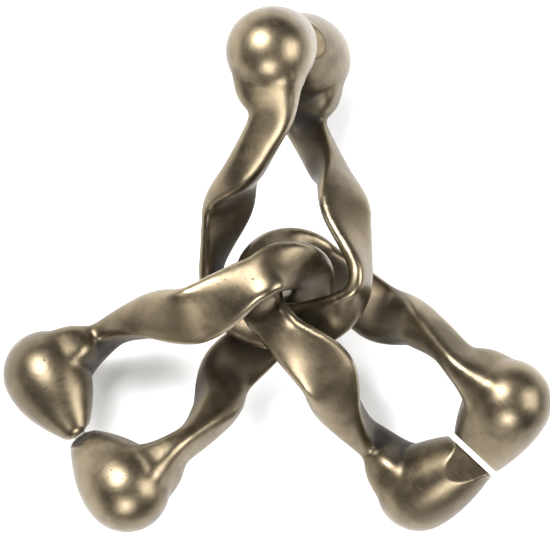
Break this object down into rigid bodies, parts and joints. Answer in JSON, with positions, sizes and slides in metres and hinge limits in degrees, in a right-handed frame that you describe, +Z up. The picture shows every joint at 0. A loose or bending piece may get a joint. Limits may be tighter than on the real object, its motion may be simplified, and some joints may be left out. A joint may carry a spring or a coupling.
{
  "type": "interlinked ring disentanglement puzzle",
  "caption": "Disentanglement puzzle of twisted cast-metal rings, each split by a narrow gap between bulbous heads and hooked through the others.",
  "frame": {"origin": "middle of the overall footprint, on the surface that the puzzle lies on", "axes": "+Z up, +Y towards the heads of ring_top, +X towards the heads of ring_right"},
  "size_m": [0.0874, 0.086, 0.0365],
  "materials": {
    "bronze_top": "satin antique bronze plating over cast zinc",
    "bronze_left": "satin antique bronze plating over cast zinc",
    "bronze_right": "satin antique bronze plating over cast zinc"
  },
  "bodies": {
    "left": {"ring_left": "bronze_left"},
    "top": {"ring_top": "bronze_top"},
    "right": {"ring_right": "bronze_right"}
  },
  "joints": [
    {"name": "top_roll", "type": "hinge", "parent": "left", "child": "top", "pos_m": [0.00151, -0.01343, 0.01465], "axis": [0.0101, 0.9972, 0.0746], "range_deg": [0, 20]},
    {"name": "right_roll", "type": "hinge", "parent": "left", "child": "right", "pos_m": [-0.00401, 0.00425, 0.01228], "axis": [0.7254, -0.684, 0.0766], "range_deg": [0, 14]}
  ]
}
